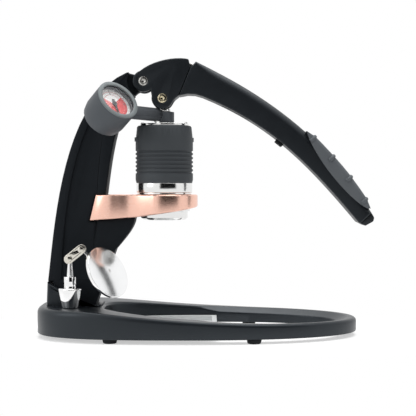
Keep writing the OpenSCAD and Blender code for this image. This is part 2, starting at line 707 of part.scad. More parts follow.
module mirror_link() {
    color("#d9d6cc") difference() {
        for (s = [-1, 1]) translate([0, STAND_Y + s * 3.25, 0]) plate(-1, 1) link_outline();
        for (e = [EYE_LOW, EYE_HIGH]) cross_bar([e[0], e[2]], 1.5, STAND_Y - link_w, STAND_Y + link_w);
    }
}
module link_outline() {
    a = [EYE_LOW[0], EYE_LOW[2]];
    b = [EYE_HIGH[0], EYE_HIGH[2]];
    n = (eye_r + 1) * [-sin(link_angle), cos(link_angle)];
    translate(a) circle(r = eye_r + 1);
    translate(b) circle(r = eye_r + 1);
    polygon([a + n, a - n, b - n, b + n]);
}
module mirror_link_screws() {
    color("#c9c6bd") for (e = [EYE_LOW, EYE_HIGH]) {
        cross_bar([e[0], e[2]], 1.5, STAND_Y - 4.25, STAND_Y + 4.25);
        cross_bar([e[0], e[2]], 2.8, STAND_Y - 6, STAND_Y - 4.25);
        cross_bar([e[0], e[2]], 2.8, STAND_Y + 4.25, STAND_Y + 6);
    }
}
module mirror_arm() {
    color("#dfe0e2") {
        difference() {
            union() {
                cross_bar([EYE_HIGH[0], EYE_HIGH[2]], eye_r, STAND_Y - 2, STAND_Y + 2);
                rod(EYE_HIGH, BALL, rod_r);
            }
            cross_bar([EYE_HIGH[0], EYE_HIGH[2]], 1.5 + run_clear, STAND_Y - link_w, STAND_Y + link_w);
        }
        translate(BALL) sphere(r = ball_r);
    }
}
module mirror_back() {
    dome_r = (mirror_r * mirror_r + dome_h * dome_h) / (2 * dome_h);
    dome_edge = asin(mirror_r / dome_r);
    color("#cfd1d3") difference() {
        union() {
            translate(MIRROR) aim(MIRROR_FACE) rotate_extrude() polygon(concat([[0, 0]],
                arc([0, dome_r - dome_h - mirror_t], dome_r, -90, dome_edge - 90, 10), [[mirror_r, 0]]));
            translate(BALL) aim(MIRROR_FACE) translate([0, 0, -2.5]) cylinder(r1 = ball_r + 1.2, r2 = ball_r + 2.4,
                h = ball_set - mirror_t + 2.5);
        }
        translate(BALL) sphere(r = ball_r + run_clear);
        translate(BALL) aim(EYE_HIGH - BALL) cylinder(r1 = rod_r + 0.8, r2 = rod_r + 3, h = 9);
    }
}
module mirror_glass() {
    glass_r = mirror_r - 0.8;
    sag_r = (glass_r * glass_r + mirror_crown * mirror_crown) / (2 * mirror_crown);
    edge = asin(glass_r / sag_r);
    color("#f4f5f6") translate(MIRROR) aim(MIRROR_FACE) rotate_extrude() polygon(concat([[0, 0], [glass_r, 0]],
        arc([0, mirror_crown + 0.4 - sag_r], sag_r, 90 - edge, 90, 8)));
}

base_frame();
base_feet();
drip_tray();
post();
post_screws();
post_bush();
portafilter_yoke();
portafilter_cup();
filter_basket();
dispersion_screen();
cylinder_gasket();
brew_cylinder();
cylinder_sleeve();
cylinder_cap();
piston();
piston_seal();
piston_stem();
gauge_collar();
gauge_neck();
gauge_housing();
gauge_movement();
gauge_dial();
gauge_needle();
gauge_lens();
gauge_bezel();
lever_head();
lever_tenon();
lever_arm();
lever_underplate();
lever_grip();
lever_bumper();
lever_tip();
pivot_bolt();
pivot_nut();
roller_bolt();
roller_nut();
press_roller();
mirror_foot();
mirror_sleeve();
mirror_post();
mirror_link();
mirror_link_screws();
mirror_arm();
mirror_back();
mirror_glass();
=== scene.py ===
# %% [markdown]
# # A manual lever espresso maker
#
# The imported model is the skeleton: every piece below sits where the skeleton says and moves with one of
# its bodies. What Blender adds is what a drawing lacks, such as rounded cast edges, finishes, the dial
# and the light. Everything is in metres, with the table at zero height and the lever's tip towards +X.

# %% Load the frame
import json
import math

import bmesh
import bpy
from mathutils import Matrix, Vector


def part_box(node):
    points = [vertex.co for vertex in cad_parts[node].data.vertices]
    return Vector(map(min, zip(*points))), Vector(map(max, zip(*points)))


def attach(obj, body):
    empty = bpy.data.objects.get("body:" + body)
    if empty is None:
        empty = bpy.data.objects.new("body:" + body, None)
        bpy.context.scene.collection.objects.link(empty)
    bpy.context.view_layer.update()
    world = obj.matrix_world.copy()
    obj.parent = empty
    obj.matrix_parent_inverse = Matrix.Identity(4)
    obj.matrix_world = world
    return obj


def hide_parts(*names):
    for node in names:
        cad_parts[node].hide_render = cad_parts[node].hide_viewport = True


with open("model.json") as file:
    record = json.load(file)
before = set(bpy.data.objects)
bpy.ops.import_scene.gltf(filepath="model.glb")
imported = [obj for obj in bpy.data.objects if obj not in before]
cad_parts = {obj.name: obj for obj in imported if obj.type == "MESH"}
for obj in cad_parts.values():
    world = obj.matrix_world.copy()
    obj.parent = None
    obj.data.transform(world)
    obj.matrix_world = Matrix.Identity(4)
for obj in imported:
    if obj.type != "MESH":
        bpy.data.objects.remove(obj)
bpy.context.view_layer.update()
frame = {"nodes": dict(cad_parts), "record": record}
MM = 0.001
body_of = {n: body for body, names in frame["record"]["behaviour"]["bodies"].items() for n in names}

# %% [markdown]
# ## Camera
#
# The photograph looks at the side of the press from about the height of the yoke, whose top edge is a
# flat line, while the oval of the base opens below. The two near and far feet give the distance, a bit
# over a metre, and the base and the lever's tip give the width that the picture takes in.

# %% Camera
VIEW_TILT = math.radians(1.4)
VIEW_WIDTH = 0.3995
VIEW_MIDDLE = Vector((0.0019, 0.0, 0.121))
VIEW_FAR = 1.05
camera = bpy.data.objects.new("camera", bpy.data.cameras.new("camera"))
bpy.context.scene.collection.objects.link(camera)
camera.data.sensor_width = 36
camera.data.lens = 36 * VIEW_FAR / VIEW_WIDTH
camera.data.clip_end = 50
camera.location = VIEW_MIDDLE + VIEW_FAR * Vector((0, -math.cos(VIEW_TILT), math.sin(VIEW_TILT)))
camera.rotation_euler = (math.pi / 2 - VIEW_TILT, 0, 0)
bpy.context.scene.camera = camera
bpy.context.scene.view_settings.view_transform = "Standard"
print("lens", round(camera.data.lens), "mm at", [round(v, 3) for v in camera.location])

# %% [markdown]
# ## Shader maths
#
# A finish is a small sum: a colour, some noise, a little less here and more there. Written with nodes
# alone it is hard to read, so one class wraps a socket and lets Python's own signs add the Math nodes.
# One method makes any other node from its type, its settings and what goes into its sockets.


# %% Shader values as Python expressions
class Shade:
    """A socket of a finish. Signs on it add Math nodes to the same tree."""

    def __init__(self, tree, socket=None):
        self.tree, self.socket = tree, socket

    def node(self, kind, settings=None, inputs=None, out=0):
        made = self.tree.nodes.new(kind)
        for name, value in (settings or {}).items():
            setattr(made, name, value)
        for name, value in (inputs or {}).items():
            if isinstance(value, Shade):
                self.tree.links.new(value.socket, made.inputs[name])
            elif isinstance(value, tuple) and made.inputs[name].type == "RGBA" and len(value) == 3:
                made.inputs[name].default_value = (*value, 1)
            else:
                made.inputs[name].default_value = value
        return Shade(self.tree, made.outputs[out])

    def math(self, operation, a, b=0.0):
        return self.node("ShaderNodeMath", {"operation": operation}, {0: a, 1: b})

    def __add__(self, other):
        return self.math("ADD", self, other)

    def __radd__(self, other):
        return self.math("ADD", other, self)

    def __sub__(self, other):
        return self.math("SUBTRACT", self, other)

    def __rsub__(self, other):
        return self.math("SUBTRACT", other, self)

    def __mul__(self, other):
        return self.math("MULTIPLY", self, other)

    def __rmul__(self, other):
        return self.math("MULTIPLY", other, self)

    def __truediv__(self, other):
        return self.math("DIVIDE", self, other)

    def __gt__(self, other):
        return self.math("GREATER_THAN", self, other)

    def __lt__(self, other):
        return self.math("LESS_THAN", self, other)

    def mix(self, low, high):
        """A colour between two, with this value as the share of the second."""
        mixed = {"data_type": "RGBA"}
        return self.node("ShaderNodeMix", mixed, {0: self, 6: (*low, 1) if isinstance(low, tuple) else low,
                                                  7: (*high, 1) if isinstance(high, tuple) else high}, 2)

    def noise(self, size, detail=2.0, stretch=(1, 1, 1)):
        """Even noise with spots of about this size in metres."""
        place = self.node("ShaderNodeTexCoord", out=3)
        if stretch != (1, 1, 1):
            place = self.node("ShaderNodeMapping", None, {"Vector": place, "Scale": stretch})
        return self.node("ShaderNodeTexNoise", None, {"Vector": place, "Scale": 1 / size, "Detail": detail})


FINISHES = {}


def finish(name, paint):
    """A material whose surface is the Principled shader that paint fills in."""
    made = bpy.data.materials.new(name)
    made.use_nodes = True
    surface = made.node_tree.nodes["Principled BSDF"]
    varying, fixed, bump = paint(Shade(made.node_tree))
    for socket, value in fixed.items():
        surface.inputs[socket].default_value = (*value, 1) if isinstance(value, tuple) else value
    for socket, value in varying.items():
        made.node_tree.links.new(value.socket, surface.inputs[socket])
    if bump:
        height, depth = bump
        normal = height.node("ShaderNodeBump", None, {"Height": height, "Strength": 1.0, "Distance": depth})
        made.node_tree.links.new(normal.socket, surface.inputs["Normal"])
    made.diffuse_color = (*fixed.get("Base Color", (0.5, 0.5, 0.5))[:3], 1)
    FINISHES[name] = made
    return made


print("shader helper ready")

# %% [markdown]
# ## Finishes
#
# The castings are black powder coat: nearly black with a breath of blue, satin, with a fine orange-peel
# that breaks the highlight up. The metals are told apart by colour and by how sharp they mirror. Rubber
# and silicone scatter the light and show faint cloudy patches where hands have been. Every number that
# varies comes from noise of a real size in millimetres, because an even value looks like plastic.


# %% Coated, moulded and rubber finishes
COOL = (0.84, 0.93, 1.0)
PEEL = 0.55 * MM


def coat(dark, light, rough, grain, depth, gloss=0.4):
    """Paint or moulding: two close colours in soft patches, uneven gloss and a fine skin."""

    def paint(s):
        patch, skin = s.noise(38 * MM, 3), s.noise(grain, 3)
        return ({"Base Color": patch.mix(dark, light), "Roughness": rough - 0.06 + 0.12 * s.noise(9 * MM, 4)},
                {"Base Color": dark, "Specular IOR Level": gloss, "Specular Tint": COOL}, (skin, depth))

    return paint


finish("black_cast", coat((0.0066, 0.0080, 0.0102), (0.0104, 0.0126, 0.0160),
                          0.42, PEEL, 0.012 * MM, 0.42))
# The base has the same powder coat as the other castings, with more gloss; its lighter, bluer colour is a
# painted sheen.
finish("black_base_painted_sheen", coat((0.0074, 0.0094, 0.0122), (0.0112, 0.0140, 0.0182),
                          0.36, PEEL, 0.010 * MM, 0.50))
# The post has the same powder coat with a rougher, duller skin; its slightly darker colour is painted shade.
finish("black_post_painted_shade", coat((0.0064, 0.0078, 0.0100), (0.0088, 0.0108, 0.0140),
                          0.66, PEEL, 0.012 * MM, 0.22))
finish("black_rubber", coat((0.008, 0.008, 0.009), (0.013, 0.013, 0.014), 0.72, 0.8 * MM, 0.03 * MM, 0.3))
finish("black_plastic", coat((0.012, 0.013, 0.015), (0.017, 0.018, 0.020), 0.48, 0.5 * MM, 0.02 * MM))
finish("grey_silicone", coat((0.060, 0.066, 0.072), (0.074, 0.081, 0.088), 0.60, 0.7 * MM, 0.02 * MM, 0.35))
finish("grey_plastic", coat((0.088, 0.096, 0.106), (0.104, 0.113, 0.124), 0.52, 0.5 * MM, 0.02 * MM, 0.4))
finish("grey_rubber", coat((0.120, 0.130, 0.142), (0.148, 0.160, 0.172), 0.66, 0.6 * MM, 0.035 * MM, 0.35))
finish("bezel_grey", coat((0.20, 0.225, 0.23), (0.24, 0.265, 0.27), 0.42, 0.5 * MM, 0.01 * MM))
# The drip tray is steel, drawn as a pale matt coat: its near-white colour is a painted reflection of the
# white room that lifts it out of the shade under the rim.
finish("tray_steel", coat((0.80, 0.82, 0.82), (0.86, 0.88, 0.88), 0.42, 0.5 * MM, 0.006 * MM, 0.6))
finish("red_rubber", coat((0.23, 0.035, 0.025), (0.28, 0.045, 0.03), 0.55, 0.7 * MM, 0.02 * MM))
finish("needle_paint", coat((0.010, 0.010, 0.011), (0.016, 0.016, 0.017), 0.40, 0.4 * MM, 0.01 * MM))
print("coats:", ", ".join(FINISHES))


# %% Metal finishes
def metal(colour, rough, spread, grain, depth, stretch=(1, 1, 1)):
    """Bare or plated metal: one colour, and a polish that varies by spread over the surface."""

    def paint(s):
        haze = s.noise(14 * MM, 4)
        lines = s.noise(grain, 3, stretch)
        dark = tuple(c * 0.94 for c in colour)
        polish = rough + spread * (lines - 0.5) + 0.3 * spread * haze
        return ({"Base Color": haze.mix(colour, dark), "Roughness": polish},
                {"Base Color": colour, "Metallic": 1.0}, (lines, depth) if depth else None)

    return paint


finish("polished_steel", metal((0.84, 0.84, 0.83), 0.15, 0.07, 2.2 * MM, 0.0015 * MM, (0.15, 0.15, 6)))
finish("perforated_steel", metal((0.62, 0.62, 0.61), 0.28, 0.1, 1.5 * MM, 0.003 * MM))
finish("zinc_steel", metal((0.66, 0.65, 0.62), 0.24, 0.1, 1.4 * MM, 0.003 * MM))
finish("bronze", metal((0.56, 0.38, 0.18), 0.32, 0.1, 1.2 * MM, 0.003 * MM))
finish("copper", metal((0.96, 0.60, 0.485), 0.25, 0.10, 0.5 * MM, 0.006 * MM))
finish("chrome", metal((0.92, 0.92, 0.92), 0.055, 0.03, 6 * MM, 0))
finish("nickel", metal((0.72, 0.69, 0.62), 0.14, 0.07, 3 * MM, 0.001 * MM))
finish("mirror_silver", metal((0.95, 0.955, 0.96), 0.15, 0.04, 8 * MM, 0))
finish("bolt_gold", metal((0.76, 0.68, 0.48), 0.22, 0.1, 1.4 * MM, 0.003 * MM))
print("metals ready,", len(FINISHES), "finishes in all")


# %% Lens finish
def lens_paint(s):
    return ({"Roughness": 0.01 + 0.03 * s.noise(6 * MM)},
            {"Base Color": (1.0, 1.0, 1.0), "Transmission Weight": 1.0, "IOR": 1.2}, None)


finish("clear_lens", lens_paint)
print("lens ready")

# %% [markdown]
# ## Rounded castings
#
# A solid from the drawing has knife edges, and nothing cast, moulded or turned has. The copy below joins
# the loose triangles again, melts flat neighbours into one face, and bevels every edge that is sharper
# than a limit. Where a piece is turned and already smooth, the limit leaves it alone and only the shading
# is smoothed. The bevel shrinks where edges lie close together, unless its clamp is off.


# %% Softened copies of the solids
def joined(name, flat=0.4):
    """The solid's own faces as one clean mesh."""
    bm = bmesh.new()
    bm.from_mesh(frame["nodes"][name].data)
    bmesh.ops.remove_doubles(bm, verts=bm.verts, dist=2e-6)
    bmesh.ops.dissolve_limit(bm, angle_limit=math.radians(flat), verts=bm.verts, edges=bm.edges,
                             use_dissolve_boundaries=False)
    made = bpy.data.meshes.new(name + "_look")
    bm.to_mesh(made)
    bm.free()
    return made


def place(name, mesh, material, nodes, body=None):
    """A finished mesh as a piece that stands for its solids and moves with their body."""
    piece = bpy.data.objects.new(name, mesh)
    bpy.context.scene.collection.objects.link(piece)
    piece.data.materials.clear()
    piece.data.materials.append(FINISHES[material])
    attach(piece, body or body_of[nodes[0]])
    if nodes:
        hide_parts(*nodes)
    return piece


def softened(name, material, radius, steps=3, limit=32, shade=35, clamp=True):
    """A copy of a solid with rounded edges, as a piece."""
    mesh = joined(name)
    carrier = bpy.data.objects.new("carrier", mesh)
    bpy.context.scene.collection.objects.link(carrier)
    if radius:
        bevel = carrier.modifiers.new("edge", "BEVEL")
        bevel.width, bevel.segments, bevel.limit_method = radius, steps, "ANGLE"
        bevel.angle_limit = math.radians(limit)
        bevel.use_clamp_overlap = clamp
    graph = bpy.context.evaluated_depsgraph_get()
    final = bpy.data.meshes.new_from_object(carrier.evaluated_get(graph))
    bpy.data.objects.remove(carrier)
    final.name = name + "_look"
    final.shade_smooth()
    final.set_sharp_from_angle(angle=math.radians(shade))
    return place(name + "_look", final, material, [name])


print("softening helpers ready")

# %% [markdown]
# ## The base casting
#
# The base is one oval ring, high under the post and low at the front, with a soft outer edge and a broad
# slope that starts beside the tray and runs round the front of the opening. A bevel on the drawn solid
# stops at its smallest edge, so the ring is lofted instead: the same two ovals are walked side by side,
# and at each step one cross-section is drawn between them.


# %% Ovals and heights of the base
BASE_BACK, BASE_LONG, BASE_WIDE, RIM = -160, 304, 150, 19
FOOT, HUB_TOP, RIM_TOP, SHIFT = 4, 29, 18, 22
BASE_MID = BASE_BACK + BASE_LONG / 2


def oval(half_long, half_wide, turn):
    """A point of the oval: squarer at the back than at the front."""
    c, s = math.cos(turn), math.sin(turn)
    blunt = 0.66 if c < 0 else 0.94
    return Vector((half_long * math.copysign(abs(c) ** blunt, c),
                   half_wide * math.copysign(abs(s) ** blunt, s)))


def bezier(points, t):
    a, b, c, d = (Vector(p) for p in points)
    return (1 - t) ** 3 * a + 3 * (1 - t) ** 2 * t * b + 3 * (1 - t) * t * t * c + t ** 3 * d


FALL = [bezier([(50, HUB_TOP - 0.5), (90, HUB_TOP - 3), (130, RIM_TOP + 1.5), (215, RIM_TOP)], i / 24)
        for i in range(25)]
SKYLINE = [Vector((0, HUB_TOP)), *FALL, Vector((BASE_LONG, RIM_TOP - 1))]


def base_top(x):
    """Height of the top of the base at a distance along it."""
    along = x - BASE_BACK
    for a, b in zip(SKYLINE, SKYLINE[1:]):
        if along <= b.x:
            return a.y + (b.y - a.y) * max(0, (along - a.x) / (b.x - a.x))
    return SKYLINE[-1].y


def ease(x, low, high):
    t = min(1, max(0, (x - low) / (high - low)))
    return t * t * (3 - 2 * t)


print("base falls from", base_top(-150), "to", round(base_top(140), 1), "mm")


# %% Cross-section of the base
SLOPE_START = -2, 7
AROUND = 176


def base_section(outer, inner):
    """The ring's outline between two points of its ovals, as points in millimetres."""
    long = (inner - outer).length
    step = (inner - outer) / long
    soft = 5.5 - 2.0 * ease(outer.x, -120, 20)
    sloped = ease(inner.x, *SLOPE_START)
    slope, drop = 1.6 + 8.4 * sloped, 1.6 + 3.4 * sloped

    def at(along, below=0.0, floor=None):
        spot = outer + step * along
        return Vector((spot.x, spot.y, floor if floor is not None else base_top(spot.x) - below))

    points = [at(1.2, floor=FOOT), at(0.3, floor=FOOT + 0.4), at(0, floor=FOOT + 1.4)]
    for i in range(7):
        a = math.pi / 2 * i / 6
        points.append(at(soft * (1 - math.cos(a)), soft * (1 - math.sin(a))))
    flat = long - slope - soft - 1.2
    points += [at(soft + flat * share) for share in (0.2, 0.4, 0.6, 0.8, 1.0)]
    points.append(at(long - slope - 0.6, 0.15))
    for share in (0, 0.08, 0.3, 0.6, 0.92, 1):
        points.append(at(long - slope + 0.3 + (slope - 1.2) * share, 0.5 + (drop - 1.0) * share))
    points += [at(long - 0.5, drop - 0.2), at(long - 0.15, drop + 0.25), at(long, drop + 0.9)]
    points += [at(long, drop + 1.5), at(long, floor=FOOT + 0.8), at(long - 0.8, floor=FOOT)]
    return points


def lofted(rings, closed_ring=True, caps=False):
    """A bmesh through rings of points in millimetres, each ring closed on itself."""
    bm = bmesh.new()
    rows = [[bm.verts.new(Vector(p) * MM) for p in ring] for ring in rings]
    pairs = list(zip(rows, rows[1:])) + ([(rows[-1], rows[0])] if closed_ring else [])
    for a, b in pairs:
        for i in range(len(a)):
            j = (i + 1) % len(a)
            bm.faces.new((a[i], a[j], b[j], b[i]))
    if caps:
        bm.faces.new(rows[0][::-1])
        bm.faces.new(rows[-1])
    bmesh.ops.recalc_face_normals(bm, faces=bm.faces)
    return bm


sections = []
for i in range(AROUND):
    t = math.tau * i / AROUND
    rim = Vector((BASE_MID, 0)) + oval(BASE_LONG / 2, BASE_WIDE / 2, t)
    hole = Vector((BASE_MID + SHIFT, 0)) + oval(BASE_LONG / 2 - RIM - SHIFT, BASE_WIDE / 2 - RIM, t)
    sections.append(base_section(rim, hole))
base_mesh = lofted(sections)
print("base ring of", len(base_mesh.faces), "faces")

# %% [markdown]
# ## Slabs with rounded edges
#
# The arm of the lever, its grip, the yoke and the socket of the post are outlines with a thickness. Each
# is drawn here as a stack of outlines: the wall, then ever smaller copies of the outline that step round
# the edge like the hours of a quarter clock. The radius may differ from point to point, so the arm is
# round on top and crisp below. The outline of the arm is read from the flat side of its own solid, so it
# can't drift from the drawing.


# %% Rounded slab from a side outline
def side_outline(name):
    """The outline of a solid's largest flat side, as X and Z in millimetres, anticlockwise."""
    bm = bmesh.new()
    bm.from_mesh(frame["nodes"][name].data)
    bmesh.ops.remove_doubles(bm, verts=bm.verts, dist=2e-6)
    bmesh.ops.dissolve_limit(bm, angle_limit=math.radians(0.3), verts=bm.verts, edges=bm.edges)
    side = max((f for f in bm.faces if f.normal.y < -0.99), key=lambda f: f.calc_area())
    points = [Vector((v.co.x, v.co.z)) / MM for v in side.verts]
    bm.free()
    turn = sum(a.x * b.y - b.x * a.y for a, b in zip(points, points[1:] + points[:1]))
    return points if turn > 0 else points[::-1]


def normals(outline):
    """For each point the outward direction, lengthened at a corner so that both walls move alike."""
    found = []
    for i, here in enumerate(outline):
        into = (here - outline[i - 1]).normalized()
        out = (outline[(i + 1) % len(outline)] - here).normalized()
        n = Vector((into.y + out.y, -into.x - out.x)) / 2
        found.append(n / max(0.35, n.length_squared))
    return found


def rounded_slab(outline, low, high, radius, steps=6):
    """A slab between two distances from the middle plane, with its edge's radius by point and direction."""
    outward = normals(outline)
    size = [min(radius(p, n.normalized()), (high - low) / 2.02) for p, n in zip(outline, outward)]
    size = [(size[i - 1] + 2 * size[i] + size[(i + 1) % len(size)]) / 4 for i in range(len(size))]
    arcs = [math.pi / 2 * k / steps for k in range(steps + 1)]
    rings = []
    for y, side in ((low, 1), (high, -1)):
        ring = []
        for a in arcs if side < 0 else reversed(arcs):
            ring.append([Vector((*(p - n * r * (1 - math.cos(a))), y + side * r * (1 - math.sin(a)))).xzy
                         for p, n, r in zip(outline, outward, size)])
        rings += ring
    return lofted(rings, closed_ring=False, caps=True)


def to_mesh(bm, name, shade=38):
    mesh = bpy.data.meshes.new(name)
    bm.to_mesh(mesh)
    bm.free()
    mesh.shade_smooth()
    mesh.set_sharp_from_angle(angle=math.radians(shade))
    return mesh


def without(mesh, *cutters):
    """The mesh with other meshes cut out of it."""
    carrier = bpy.data.objects.new("carrier", mesh)
    bpy.context.scene.collection.objects.link(carrier)
    spare = []
    for cutter in cutters:
        tool = bpy.data.objects.new("tool", cutter)
        bpy.context.scene.collection.objects.link(tool)
        cut = carrier.modifiers.new("cut", "BOOLEAN")
        cut.operation, cut.object, cut.solver = "DIFFERENCE", tool, "EXACT"
        spare.append(tool)
    graph = bpy.context.evaluated_depsgraph_get()
    final = bpy.data.meshes.new_from_object(carrier.evaluated_get(graph))
    for extra in (carrier, *spare):
        bpy.data.objects.remove(extra)
    return final


print("arm outline has", len(side_outline("lever_arm")), "points")

# %% Base with its socket
SOCKET = [Vector(p) for p in ((-151, 25), (-99, 25), (-99, 30), (-114, 30.5), (-144.5, 48.5), (-150, 51.5))]
socket = rounded_slab(SOCKET, -20, 20, lambda p, n: 3.2)
socket.to_mesh(spare := bpy.data.meshes.new("socket"))
socket.free()
base_mesh.from_mesh(spare)
place("base_cast", to_mesh(base_mesh, "base_cast"), "black_base_painted_sheen", ["base_frame"])
print("base and socket joined")


# %% Lever arm
def arm_edge(p, n):
    """Round on top and at the tip, crisp under the arm and at the seam."""
    if n.x < -0.6 and p.x < 12:
        return 0.7
    return 1.2 + 6.8 * ease(n.y, -0.35, 0.25) * ease(p.x, -12, 8)


arm = to_mesh(rounded_slab(side_outline("lever_arm"), -14, 14, arm_edge, 8), "lever_arm_look", 50)
arm = without(arm, joined("lever_underplate"))
place("lever_arm_look", arm, "black_cast", ["lever_arm"])
print("arm has", len(arm.polygons), "faces")

# %% [markdown]
# ## Copper yoke
#
# The fork is one plated casting. Its wall runs in a slow S from the blunt ends of the prongs, past the
# post, into the round of the nose, and its satin plate shows that S as bands of light and dark. A drawn
# outline of straight pieces shows none, so the wall here follows a smooth line through the same places.


# %% Smooth outline of the yoke
def smooth(points, parts=6):
    """An open line through points that bends gently between them."""
    line, spots = [], [Vector(p) for p in points]
    spots = [2 * spots[0] - spots[1], *spots, 2 * spots[-1] - spots[-2]]
    for a, b, c, d in zip(spots, spots[1:], spots[2:], spots[3:]):
        for k in range(parts):
            t = k / parts
            line.append(0.5 * (2 * b + (c - a) * t + (2 * a - 5 * b + 4 * c - d) * t * t
                               + (3 * b - a - 3 * c + d) * t ** 3))
    return [*line, spots[-2]]


yoke_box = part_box("portafilter_yoke")
YOKE_LOW, YOKE_TOP = yoke_box[0][2] / MM, yoke_box[1][2] / MM
YOKE_BACK, YOKE_NOSE = yoke_box[0][0] / MM, yoke_box[1][0] / MM
BREW_X = -40
YOKE_R = YOKE_NOSE - BREW_X
nose = [(BREW_X + YOKE_R * math.cos(a), YOKE_R * math.sin(a)) for a in
        (math.radians(d) for d in range(-105, 106, 15))]
near = [(-54, -28.0), (-63, -23.6), (-72, -20.9), (-83, -20.3), (-92, -19.8), (-101, -18.0),
        (YOKE_BACK, -15.6)]
outer = [*reversed(near), *nose, *((x, -y) for x, y in near)]
print("yoke from", round(YOKE_BACK, 1), "to", round(YOKE_NOSE, 1), "nose radius", round(YOKE_R, 1))


# %% Wall of the yoke
SHELF_X, SHELF_UP = -67, 3.6
RISE = [bezier([(SHELF_X, YOKE_LOW + SHELF_UP), (-44, YOKE_LOW + 6.8), (-19, YOKE_TOP - 14.7),
                (-7, YOKE_TOP - 11.5)], i / 16) for i in range(17)]
POST_FRONT, POST_HALF, BORE_R, THICK = -94.2, 13.2, 24.7, 8


def yoke_under(x):
    """Height of the underside: a gentle rise to the shelf, then up to the thin nose."""
    if x < SHELF_X:
        return YOKE_LOW + SHELF_UP * (x - YOKE_BACK) / (SHELF_X - YOKE_BACK)
    for a, b in zip(RISE, RISE[1:]):
        if x <= b.x:
            return a.y + (b.y - a.y) * (x - a.x) / (b.x - a.x)
    return RISE[-1].y


def lean_back(x, high):
    """The ends of the prongs lean: further back at the foot than at the top."""
    return x + 6.0 * ease(-x, 94, 110) * high


slot = [(YOKE_BACK, POST_HALF), (POST_FRONT, POST_HALF), (POST_FRONT, -POST_HALF), (YOKE_BACK, -POST_HALF)]
plan = [*smooth(outer), *(Vector(p) for p in slot)]
yoke = rounded_slab(plan, -THICK, THICK, lambda p, n: 0.4 if abs(p.y) < 14 and p.x < -90 else 1.7, 5)
for v in yoke.verts:
    x, depth, y = v.co / MM
    high = YOKE_TOP - (THICK - depth) if depth > 0 else yoke_under(x) + depth + THICK
    v.co = Vector((lean_back(x, (high - YOKE_LOW) / (YOKE_TOP - YOKE_LOW)), y, high)) * MM
bmesh.ops.recalc_face_normals(yoke, faces=yoke.faces)
bore = bmesh.new()
bmesh.ops.create_cone(bore, cap_ends=True, segments=96, radius1=BORE_R * MM, radius2=BORE_R * MM,
                      depth=60 * MM, matrix=Matrix.Translation(Vector((BREW_X, 0, 125)) * MM))
fork = without(to_mesh(yoke, "yoke"), to_mesh(bore, "bore"))
place("portafilter_yoke_look", fork, "copper", ["portafilter_yoke"])
print(len(plan), "points round the yoke")

# %% [markdown]
# ## Repeats with Geometry Nodes
#
# The ticks of the dial and the ribs of the grip are each one small shape repeated by a rule. A Geometry
# Nodes tree holds the rule, with its sizes as named inputs, so another dial needs other numbers and no
# other code. Each tree ends in real faces and a material, and the result becomes a plain mesh.


# %% Building and running a tree
def rule(name, inputs):
    """A new tree with a geometry in and out and these named inputs, and a maker of nodes for it."""
    tree = bpy.data.node_groups.new(name, "GeometryNodeTree")
    tree.interface.new_socket("Geometry", in_out="INPUT", socket_type="NodeSocketGeometry")
    for label, (kind, value) in inputs.items():
        tree.interface.new_socket(label, in_out="INPUT", socket_type=kind).default_value = value
    tree.interface.new_socket("Geometry", in_out="OUTPUT", socket_type="NodeSocketGeometry")
    start = tree.nodes.new("NodeGroupInput")
    return tree, Shade(tree), {s.name: Shade(tree, s) for s in start.outputs if s.name}


def close(tree, geometry, material):
    """Ends a tree in real faces with a material."""
    real = geometry.node("GeometryNodeRealizeInstances", None, {0: geometry})
    done = real.node("GeometryNodeSetMaterial", None, {"Geometry": real, "Material": FINISHES[material]})
    tree.links.new(done.socket, tree.nodes.new("NodeGroupOutput").inputs[0])


def run(tree, values, carrier_mesh=None):
    """The plain mesh that a tree makes with these values."""
    carrier = bpy.data.objects.new("carrier", carrier_mesh or bpy.data.meshes.new("carrier"))
    bpy.context.scene.collection.objects.link(carrier)
    modifier = carrier.modifiers.new("rule", "NODES")
    modifier.node_group = tree
    for socket in tree.interface.items_tree:
        if socket.in_out == "INPUT" and socket.name in values:
            modifier[socket.identifier] = values[socket.name]
    graph = bpy.context.evaluated_depsgraph_get()
    mesh = bpy.data.meshes.new_from_object(carrier.evaluated_get(graph))
    bpy.data.objects.remove(carrier)
    return mesh


NUMBER, WHOLE = "NodeSocketFloat", "NodeSocketInt"
fan, g, size = rule("marks round a dial", {
    "Count": (WHOLE, 10), "Start": (NUMBER, 0.0), "Step": (NUMBER, 0.1), "Radius": (NUMBER, 0.01),
    "Length": (NUMBER, 0.002), "Width": (NUMBER, 0.0004), "Height": (NUMBER, 0.0001)})
turn = size["Start"] + size["Step"] * g.node("GeometryNodeInputIndex")
spot = g.node("ShaderNodeCombineXYZ", None, {"X": size["Radius"] * g.math("COSINE", turn),
                                             "Y": size["Radius"] * g.math("SINE", turn)})
dots = g.node("GeometryNodePoints", None, {"Count": size["Count"], "Position": spot})
bar_size = g.node("ShaderNodeCombineXYZ", None,
                  {"X": size["Length"], "Y": size["Width"], "Z": size["Height"]})
mark = g.node("GeometryNodeMeshCube", None, {"Size": bar_size})
spin = g.node("ShaderNodeCombineXYZ", None, {"Z": turn})
marks = g.node("GeometryNodeInstanceOnPoints", None, {"Points": dots, "Instance": mark, "Rotation": spin})
close(fan, marks, "needle_paint")

